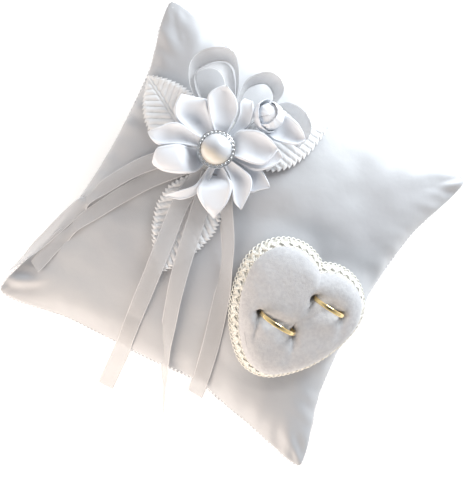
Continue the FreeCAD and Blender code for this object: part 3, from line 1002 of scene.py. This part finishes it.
def build_petal(name, node, first, second, sag, width, lip=0.5):
    """A satin petal between two edges, with a rolled rim.

    sag is its dish at the base, at the lip and at the end; lip is how far out the basin ends.
    """
    steps, columns = 56, 45
    rows = []
    for i, (left, right) in enumerate(zip(edge_line(first, steps), edge_line(second, steps))):
        part = i / steps
        if part < lip:
            dish = mix(sag[0], sag[1], ease(lip - 0.35, lip, part))
        else:
            dish = mix(sag[1], sag[2], ease(lip, 1, part))
        across = right - left
        reach = across.length
        dish *= min(1.0, reach / 9)
        end_roll = 0.8 * ease(0.95, 1.0, part)
        row = []
        for k in range(columns):
            share = 2 * k / (columns - 1) - 1
            place = left + across * ((share + 1) / 2)
            place.z -= dish * (1 - abs(share) ** 2.4)
            roll = 1.1 * ease(0.9, 1.0, abs(share)) * ease(0.1, 0.3, part) * min(1.0, reach / 6)
            place.z += 0.45 * bump(abs(share) - 0.88, 0.06) - roll - end_roll
            row.append(place)
        rows.append(row)
    add_sheet(
        name, rows, PETAL_SATIN, SATIN_THICKNESS, node, "petal_satin", smooth=False
    )


# angle, sideways offset, start, tip, width, bend, tooth pitch, tooth depth and lift of each leaf
LEAVES = [
    ("leaf_left_embossed", "leaf_left", 157, 8, 12, 63, 34, -2, 2.4, 1.8, 1.4),
    ("leaf_right_embossed", "leaf_right", 44, 0, 12, 68, 38, 4, 3.1, 1.9, 1.4),
    ("leaf_lower_embossed", "leaf_lower", 275, 1, 14, 76, 38, 0, 2.4, 2.1, 1.2),
]

# the two edges of each petal from the centre out to the tip: x, y from the flower, z above its crown
PETALS = {
    "satin_petal_top_left": ("petal_top_left",
        [(-4, 6, 9.5), (-11.5, 12.5, 12), (-16, 17.5, 14), (-19, 22.5, 15), (-17.5, 28, 14.5),
         (-14, 32.5, 13)],
        [(0.5, 7, 9.5), (0, 17.5, 12), (-1, 24, 14), (-4.5, 28.5, 14), (-9, 31, 13.5), (-13.6, 32.7, 13)],
        (1.5, 5, 2), 20, 0.55),
    "satin_petal_upper_left": ("petal_upper_left",
        [(-6, 1, 9), (-19, 1.5, 11), (-27.5, 3, 13), (-31.5, 8, 14), (-32.5, 16, 11.5)],
        [(-3.5, 5.5, 9), (-11, 13, 11), (-16, 17.5, 12.5), (-17.5, 19.5, 12.5), (-19, 21, 11)],
        (2, 5, 1), 22, 0.55),
    "satin_petal_left": ("petal_left",
        [(-6, 1, 9.5), (-17, 1.5, 13), (-24, 1.5, 15), (-29, -1, 14.5), (-33, -6, 13.5), (-37, -11, 12)],
        [(-6, -2.5, 9), (-15.5, -6.5, 11), (-21.5, -10, 12), (-28, -14, 12.5), (-33, -13.5, 12.5),
         (-36.7, -11.5, 12)],
        (3, 3, -1.5), 15, 0.6),
    "satin_petal_lower_left": ("petal_lower_left",
        [(-6, -3, 8), (-15.5, -6.5, 10.5), (-20, -9, 13.5), (-25, -13, 14), (-28, -17, 13),
         (-26.5, -24, 10.5)],
        [(-1.5, -7, 7.5), (-3, -15, 9.5), (-6.5, -19, 13), (-12, -22.5, 13.5), (-19, -25, 12),
         (-25, -25, 10.5)],
        (5.5, -2.0, -2.5), 17, 0.5),
    "satin_petal_bottom": ("petal_bottom",
        [(1, -7, 7), (0.5, -18, 8), (-0.5, -23.5, 11), (-6, -30, 11), (-11.5, -36, 8)],
        [(4.5, -7, 7), (5, -18, 7.5), (3, -26, 8), (-2.5, -33, 8), (-11.1, -36.2, 8)],
        (1.5, 1, 0), 12),
    "satin_petal_bottom_right": ("petal_bottom_right",
        [(1, -7, 8), (1.5, -18, 9), (3, -25, 13), (9, -29.5, 12), (17.8, -32.5, 7.5)],
        [(5, -4.5, 8), (13, -9, 10.5), (18, -13, 15), (20, -22, 12.5), (18.2, -32.4, 7.5)],
        (5.5, 1.0, -3), 19, 0.5),
    "satin_petal_lower_right": ("petal_lower_right",
        [(5, -3, 8), (13.5, -9, 9), (18, -14, 11), (23, -19, 11), (28.3, -20.7, 9)],
        [(6, 0, 8.5), (19, -1.5, 12), (24.5, -3.5, 13), (27.5, -9, 12.5), (28.6, -20.4, 9)],
        (2, 3, 1), 15),
    "satin_petal_right_under": ("petal_right_under",
        [(6, 2, 5.5), (19, 3, 7), (26, 4, 8), (32.5, 0.5, 8.5), (35.5, -2, 9)],
        [(6, -2, 5.5), (20, -6.5, 6.5), (27.5, -10, 7), (31.5, -6, 7.5), (35.4, -2.4, 9)],
        (1, 1.5, 0.5), 13),
    "satin_petal_right": ("petal_right",
        [(3, 5, 9.5), (4.5, 14, 13), (9, 18, 14.5), (15, 20.5, 15), (22, 20, 14.5), (28.3, 17.8, 13)],
        [(6, 1, 9.5), (14.5, 2.5, 13), (20.5, 3.5, 14.5), (26, 6, 14.5), (28, 11.5, 14), (28.6, 17.2, 13)],
        (2, 5, 2.5), 21, 0.55),
    "satin_petal_right_second": ("petal_right",
        [(5, 4, 7.5), (7, 16, 8), (17.5, 20, 9), (28.5, 18, 11), (33.5, 14.7, 10.5)],
        [(6, 0.5, 8), (17, 0, 10), (24.5, 1.5, 11.5), (30.5, 7.5, 11.5), (33.6, 14.2, 10.5)],
        (1.5, 2.5, 1), 19),
    "satin_petal_top": ("petal_top",
        [(0.5, 7, 8), (1, 17.5, 9.5), (0, 23.5, 11), (-2.5, 28.5, 12), (-1.5, 32, 11)],
        [(3, 7, 8), (7.5, 18.5, 11), (8, 22.5, 12.5), (6.5, 28, 13), (3, 33, 11)],
        (1.5, 2.5, 1), 12),
}

for leaf in LEAVES:
    build_leaf(*leaf)
for petal_name, (petal_node, *petal_shape) in PETALS.items():
    build_petal(petal_name, petal_node, *petal_shape)


# ---------------------------------------------------------------- rosebud
# where the bud's foot is, from the flower's middle and its crown
BUD = (15, 31)
BUD_HEIGHT = 3.5
# up a bud layer from its foot to its closed top: share of its radius, share of its height
BUD_PROFILE = [(0.5, 0), (0.86, 0.18), (1, 0.42), (0.96, 0.64), (0.8, 0.83), (0.46, 0.96), (0.05, 1)]
# how far the upper edge curls out, and from which share of the strip's width
BUD_LIP, LIP_START = 0.7, 0.8
# points across a strip, and one of these points
LAYER_POINTS, WIDEST_POINT = 26, 9
WRINKLES, WRINKLE_DEPTH = 11, 0.22


def bud_layer(name, node, start, turns, radius, height, cover, columns):
    """A strip folded round the bud; cover is how far over the top it comes, at its ends and middle."""
    profile = np.array(smooth_line(BUD_PROFILE, 60))
    shares = np.linspace(0, 1, len(profile))
    rows = []
    for k in range(columns + 1):
        part = k / columns
        turn = math.radians(start + 360 * turns * part)
        reach = mix(*radius, part) * (1 + 0.03 * math.sin(3 * turn))
        over = mix(*cover, math.sin(math.pi * part))
        row = []
        for j in range(LAYER_POINTS):
            along = j / (LAYER_POINTS - 1)
            out, up = (np.interp(along * over, shares, profile[:, axis]) for axis in (0, 1))
            curl = BUD_LIP * max(0, along - LIP_START) / (1 - LIP_START) if over < 1 else 0
            wrinkle = WRINKLE_DEPTH * up * math.sin(WRINKLES * turn + 2 * up)
            away = reach * out + wrinkle * out + curl * (1 - up)
            x = FLOWER[0] + BUD[0] + away * math.cos(turn)
            y = FLOWER[1] + BUD[1] + away * math.sin(turn)
            tall = mix(*height, part) * up + curl * up
            row.append(Vector((x, y, FLOWER_HEIGHT + BUD_HEIGHT + tall)))
        rows.append(row)
    add_sheet(name, rows, PETAL_SATIN, SATIN_THICKNESS, node, "petal_satin")


# start, turns, radius, height, cover and columns of each layer
BUD_LAYERS = [
    ("rosebud_rolled_heart", "rosebud_core", 150, 1.2, (5.9, 6.9), (11.2, 12.0), (1, 1), 130),
    ("rosebud_inner_fold", "rosebud_inner_wrap", -110, 0.62, (7.6, 8.0), (12.6, 12.8), (0.55, 0.8), 90),
    ("rosebud_back_fold", "rosebud_outer_wrap", 120, 0.55, (8.7, 8.9), (12.9, 13.2), (0.4, 0.66), 80),
]
for layer in BUD_LAYERS:
    bud_layer(*layer)
build_petal(
    "rosebud_outer_petal", "rosebud_outer_wrap",
    [(18, 36, 4), (24, 37, 9), (30, 35.5, 12), (35, 33, 12), (38.3, 30.5, 10)],
    [(15, 23, 4), (23, 21, 9), (30, 22.5, 11), (36, 25.5, 11), (38.5, 30, 10)],
    (1, 4, 2), 16,
)


# ---------------------------------------------------------------- organza loops and tails
RIBBON_COLUMNS = 9
TAIL_RUFFLE = 0.2


def ribbon_rows(centres, sides):
    """Rows of points across a ribbon; its two edges wave a little."""
    rows = []
    ways = directions(np.array([tuple(c) for c in centres]))
    for k, (centre, side) in enumerate(zip(centres, sides)):
        normal = Vector(ways[k]).cross(side).normalized()
        row = []
        for j in range(RIBBON_COLUMNS):
            share = 2 * j / (RIBBON_COLUMNS - 1) - 1
            wave = TAIL_RUFFLE * math.sin(k * 0.37 + share) * abs(share)
            row.append(centre + side * (RIBBON_WIDTH / 2 * share) + normal * wave)
        rows.append(row)
    return rows


def add_ribbon(name, node, rows):
    """A piece of organza ribbon from its rows of points."""
    add_sheet(name, rows, ORGANZA, ORGANZA_THICKNESS, node, "organza")


def build_loop(name, node, first, second):
    """A standing loop of ribbon between its two edges; it bows a little across its width."""
    steps = 90
    rows = []
    for i, (low, high) in enumerate(zip(edge_line(first, steps), edge_line(second, steps))):
        way = Vector((low.x - FLOWER[0], low.y - FLOWER[1], 0)).normalized()
        bow = 0.5 + 0.25 * math.sin(i * 0.31)
        row = []
        for k in range(RIBBON_COLUMNS):
            share = k / (RIBBON_COLUMNS - 1)
            row.append(low.lerp(high, share) + way * (bow * math.sin(math.pi * share)))
        rows.append(row)
    add_ribbon(name, node, rows)


# the lower and the upper edge of each loop, from where it leaves the flower until it comes back
LOOPS = {
    "organza_loop_left": ("ribbon_loop_left",
        [(-11, 13, 0), (-27, 22, -1.5), (-33.5, 31, -1.5), (-31.5, 38, -1.5), (-25.5, 44.5, -1.5),
         (-19, 46, -1.5), (-13.5, 42, -1), (-7, 31, -1), (-2, 14, 0)],
        [(-12, 12, 7), (-29, 21, 8), (-37, 31.5, 8), (-37, 41, 7), (-30, 49, 6.5), (-22, 51.5, 6.5),
         (-15, 47, 8), (-7, 34, 8), (-2, 15, 7)]),
    "organza_loop_left_inner": ("ribbon_loop_left_inner",
        [(-10, 13, 0), (-25, 23, -0.5), (-32.5, 31, 0), (-31, 37, 0.5), (-25, 43.5, 0.5), (-19.5, 45, 0.5),
         (-13.5, 40.5, 0), (-7, 30, -0.5), (-3, 14, 0)],
        [(-11, 12, 7), (-25, 21, 8), (-31.5, 28, 8), (-30, 33.5, 8), (-25.5, 37, 7.5), (-20.5, 37.2, 7.5),
         (-16, 34, 8), (-10, 26, 7.5), (-5, 13, 7)]),
    "organza_loop_top": ("ribbon_loop_top",
        [(-1, 15, 0), (-3, 30, -0.5), (-4, 38, -0.5), (-1, 43.5, -0.5), (3.5, 46.5, -0.5), (8.5, 45, -0.5),
         (11.5, 40, -0.5), (9, 26, -0.5), (3, 14, 0)],
        [(-2, 15, 7), (-5, 30, 8), (-6.5, 39.5, 8.5), (-3, 47.5, 8), (3, 52.5, 7.5), (10.5, 51.5, 7.5),
         (15, 44.5, 9), (12, 28, 8), (4, 14, 7)]),
    "organza_loop_right": ("ribbon_loop_right",
        [(15, 37, 1), (20, 39.5, 0), (25.5, 38.5, 0), (30, 36.5, 0), (34, 34, 0), (36.5, 30, 0.5),
         (36, 25, 1)],
        [(15, 39, 9), (20, 43, 8.5), (27, 44, 8), (33.5, 42, 7.5), (38, 38, 7.5), (39.5, 32, 8),
         (38, 25, 9)]),
}
for loop_name, loop_shape in LOOPS.items():
    build_loop(loop_name, *loop_shape)


# each tail's route from the flower, and its twist at each point of it; a point's height is
# over the pillow or at that level
TAILS = {
    "organza_tail_middle_left": ("ribbon_tail_middle_left", [
        (-33, 22, "over", 4.6), (-34, 0, "over", 5.4), (-30, -25, "over", 5.4), (-27, -45, "over", 4.0),
        (-24, -68, "over", 1.6), (-21, -92, "at", 33), (-20, -106, "at", 23), (-19, -122, "at", 11)],
        (0, 0, 0, 0, 0, 6, 0, 0)),
    "organza_tail_middle": ("ribbon_tail_middle", [
        (-29, 22, "over", 5.2), (-24, 5, "over", 6.2), (-14, -35, "over", 4.6), (-2, -70, "over", 1.8),
        (7, -90, "at", 35), (14, -104, "at", 25), (20, -117, "at", 12)], (0, 0, 10, 35, 60, 75, 84)),
    "organza_tail_right": ("ribbon_tail_right", [
        (-22, 25, "over", 4.6), (-11, 9, "over", 4.4), (5, -15, "over", 4.0), (19, -52, "over", 1.6),
        (26, -76, "over", 1.8), (30, -93, "at", 33)], (0, 30, 35, 0, 8, 20)),
    "organza_tail_left_upper": ("ribbon_tail_left_upper", [
        (-43, 25, "over", 3.8), (-61, 10, "over", 2.8), (-75, -11, "over", 2.2), (-86, -36, "over", 2.4),
        (-94, -61, "at", 34), (-104, -90, "at", 27)], (0, 0, 0, 22, 36, 82)),
    "organza_tail_left_lower": ("ribbon_tail_left_lower", [
        (-40, 22, "over", 2.6), (-57, 0, "over", 1.6), (-72, -26, "over", 1.2), (-84, -51, "over", 1.4),
        (-90, -78, "over", 2.0)], (0, 0, 0, 12, 30)),
}


def tail_piece(name, node, route, twists):
    """A tail that lies over the pillow and may hang past its edge; twists are in degrees."""
    points = []
    for (x, y, kind, z), twist in zip(route, twists):
        place = crown(x, y, z) if kind == "over" else Vector((x, y, z))
        points.append((*place, twist))
    line = smooth_line(points, 80)
    ways = directions(line[:, :3])
    centres, sides = [], []
    for (px, py, pz, twist), way in zip(line, ways):
        way = Vector(way)
        flat = way.cross(UP).normalized() * (RIBBON_WIDTH / 2)
        left, right = crown(px - flat.x, py - flat.y), crown(px + flat.x, py + flat.y)
        over = ease(SEAM_HEIGHT + 4, SEAM_HEIGHT + 12, min(left.z, right.z))
        side = (flat + UP * ((right.z - left.z) / 2 * over)).normalized()
        side = Matrix.Rotation(math.radians(twist), 3, way) @ side
        clear = max(crown(px, py).z, (left.z + right.z) / 2) + 0.9
        pz = max(pz, mix(pz, clear, over))
        centres.append(Vector((px, py, pz)))
        sides.append(side)
    add_ribbon(name, node, ribbon_rows(centres, sides))


for tail_name, tail_shape in TAILS.items():
    tail_piece(tail_name, *tail_shape)


# ---------------------------------------------------------------- pearl button
def turned_mesh(profile, centre):
    """A shape of revolution about the upright line through the centre."""
    sides = 96
    verts = []
    for reach, height in profile:
        for x, y in circle_points(sides, reach):
            verts.append((centre.x + x, centre.y + y, centre.z + height))
    return verts, grid_faces(len(profile), sides, False, True)


# the pearl's lowest angle from its top, its height as a share of its radius, and its middle's height
PEARL_SWEEP, PEARL_FLATNESS, PEARL_BASE = 1.06 * math.pi / 2, 0.96, 0.8


def build_pearl():
    """The pearl, its cup, and the row of beads round its rim."""
    seat = Vector((*FLOWER, FLOWER_HEIGHT + LIFT_SETTING))
    dome = []
    for polar in np.linspace(0, PEARL_SWEEP, 40):
        height = PEARL_BASE + PEARL_RADIUS * math.cos(polar) * PEARL_FLATNESS
        dome.append((PEARL_RADIUS * math.sin(polar) + 0.001, height))
    dome.append((0.001, 0.4))
    add_piece("pearl_cabochon", *turned_mesh(dome, seat), NACRE, ("pearl",), "pearl")
    cup = [
        (0.001, 0.0), (9.2, 0.0), (10.4, 0.25), (10.55, 0.7), (10.2, 0.95),
        (9.0, 0.9), (8.7, 1.5), (8.4, 1.6), (8.3, 0.8), (0.001, 0.7),
    ]
    add_piece("pearl_cup", *turned_mesh(cup, seat), SILVER, ("pearl_setting",), "silver")
    beads = Heap()
    for x, y in circle_points(BEAD_COUNT, RIM_RADIUS):
        beads.add(*ball_mesh(seat + Vector((x, y, 1.5)), 0.84, 14))
    add_piece("rim_bead_row", beads.verts, beads.faces, SILVER, ("rim_beads",), "silver")


build_pearl()

CARRIED_OVER = {
    "heart_base_board": CARD,
    "corsage_backing": FELT,
    "corsage_core": ORGANZA,
    "binding_thread": THREAD,
    "pearl_shank": SILVER,
}
for node_name, node_material in CARRIED_OVER.items():
    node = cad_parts[node_name]
    node.data.materials.clear()
    node.data.materials.append(node_material)


# ---------------------------------------------------------------- studio: floor, light and camera
def build_floor():
    """A plain white floor, wide enough to fill the view."""
    mesh = bpy.data.meshes.new("floor")
    reach = 2.0
    corners = [(-reach, -reach, 0), (reach, -reach, 0), (reach, reach, 0), (-reach, reach, 0)]
    mesh.from_pydata(corners, [], [(0, 1, 2, 3)])
    floor = bpy.data.objects.new("floor", mesh)
    scene.collection.objects.link(floor)
    tone = (4, 2.0, (0.3, (0.925, 0.925, 0.925)), (0.7, (0.94, 0.94, 0.94)))
    glow = {"Emission_Color": (1.0, 1.0, 1.0, 1), "Emission_Strength": 0.3}
    mesh.materials.append(make_material("pale_floor", (0.93, 0.93, 0.93), 0.8, tone, [], **glow))


def add_light(name, place, size, power, color, reflected=True):
    """A square soft light that faces the object; reflected is whether glossy surfaces show it."""
    light = bpy.data.lights.new(name, "AREA")
    light.shape = "SQUARE"
    light.size = size
    light.energy = power
    light.color = color
    lamp = bpy.data.objects.new(name, light)
    scene.collection.objects.link(lamp)
    lamp.location = place
    aim = Vector((0, 0, 0.03)) - Vector(place)
    lamp.rotation_euler = aim.to_track_quat("-Z", "Y").to_euler()
    lamp.visible_glossy = reflected


def build_light():
    """A bright surround, darker overhead, and a large cool key light with a warm fill."""
    world = bpy.data.worlds.new("studio")
    world.use_nodes = True
    tree = world.node_tree
    background = tree.nodes["Background"]
    direction = tree.nodes.new("ShaderNodeTexCoord").outputs["Generated"]
    split = tree.nodes.new("ShaderNodeSeparateXYZ")
    tree.links.new(direction, split.inputs["Vector"])
    stops = [
        (0.0, (0.98, 0.98, 0.98)), (0.45, (0.9, 0.91, 0.93)),
        (0.93, (0.3, 0.31, 0.33)), (0.985, (0.05, 0.05, 0.05)),
    ]
    tree.links.new(color_ramp(tree, split.outputs["Z"], stops), background.inputs["Color"])
    background.inputs["Strength"].default_value = 0.84
    scene.world = world
    add_light("key", (0.12, 0.625, 0.27), 0.36, 6.2, (0.92, 0.97, 1.0))
    add_light("fill", (-0.13, -0.62, 0.26), 0.6, 5.7, (1.0, 0.83, 0.68), False)
    scene.view_settings.view_transform = "Standard"


CAMERA_TURN = math.radians(31.5)
CAMERA_HEIGHT = 0.476
CAMERA_LENS = 56.4


def build_camera():
    camera_data = bpy.data.cameras.new("camera")
    camera_data.lens = CAMERA_LENS
    camera = bpy.data.objects.new("camera", camera_data)
    scene.collection.objects.link(camera)
    camera.location = (0.0024, -0.0017, CAMERA_HEIGHT)
    camera.rotation_euler = (0, 0, CAMERA_TURN)
    scene.camera = camera


build_floor()
build_light()
build_camera()
